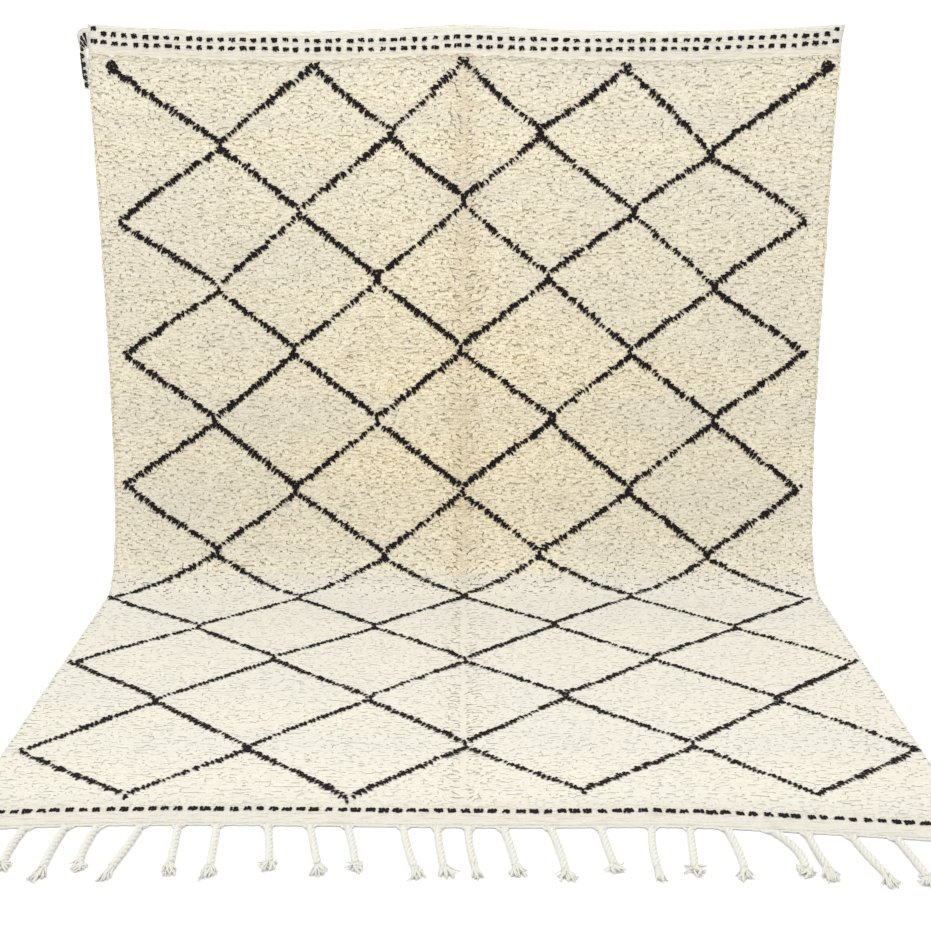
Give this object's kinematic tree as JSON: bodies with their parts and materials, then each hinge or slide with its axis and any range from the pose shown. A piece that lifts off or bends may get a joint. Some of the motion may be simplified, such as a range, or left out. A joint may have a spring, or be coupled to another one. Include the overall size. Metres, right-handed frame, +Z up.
{
  "type": "beni ourain rug",
  "caption": "Shaggy cream wool rug with a black diamond lattice and twisted tassels, held up by its far end so that it hangs, turns at the foot and lies on the floor.",
  "frame": {"origin": "on the floor, under the middle of the part of the rug that lies on it", "axes": "+X across the rug to the viewer's right, +Y back towards the part that hangs, +Z up"},
  "size_m": [2.0536, 1.6257, 1.5293],
  "materials": {
    "knotted_wool": "long shaggy undyed cream wool pile with dark brown-black knots for the lattice, on a ribbed flat-woven ground",
    "twisted_warp": "thick undyed off-white warp yarn, twisted into ropes with frayed ends"
  },
  "bodies": {
    "root": {"rug": "knotted_wool", "fringe": "twisted_warp"}
  },
  "joints": []
}
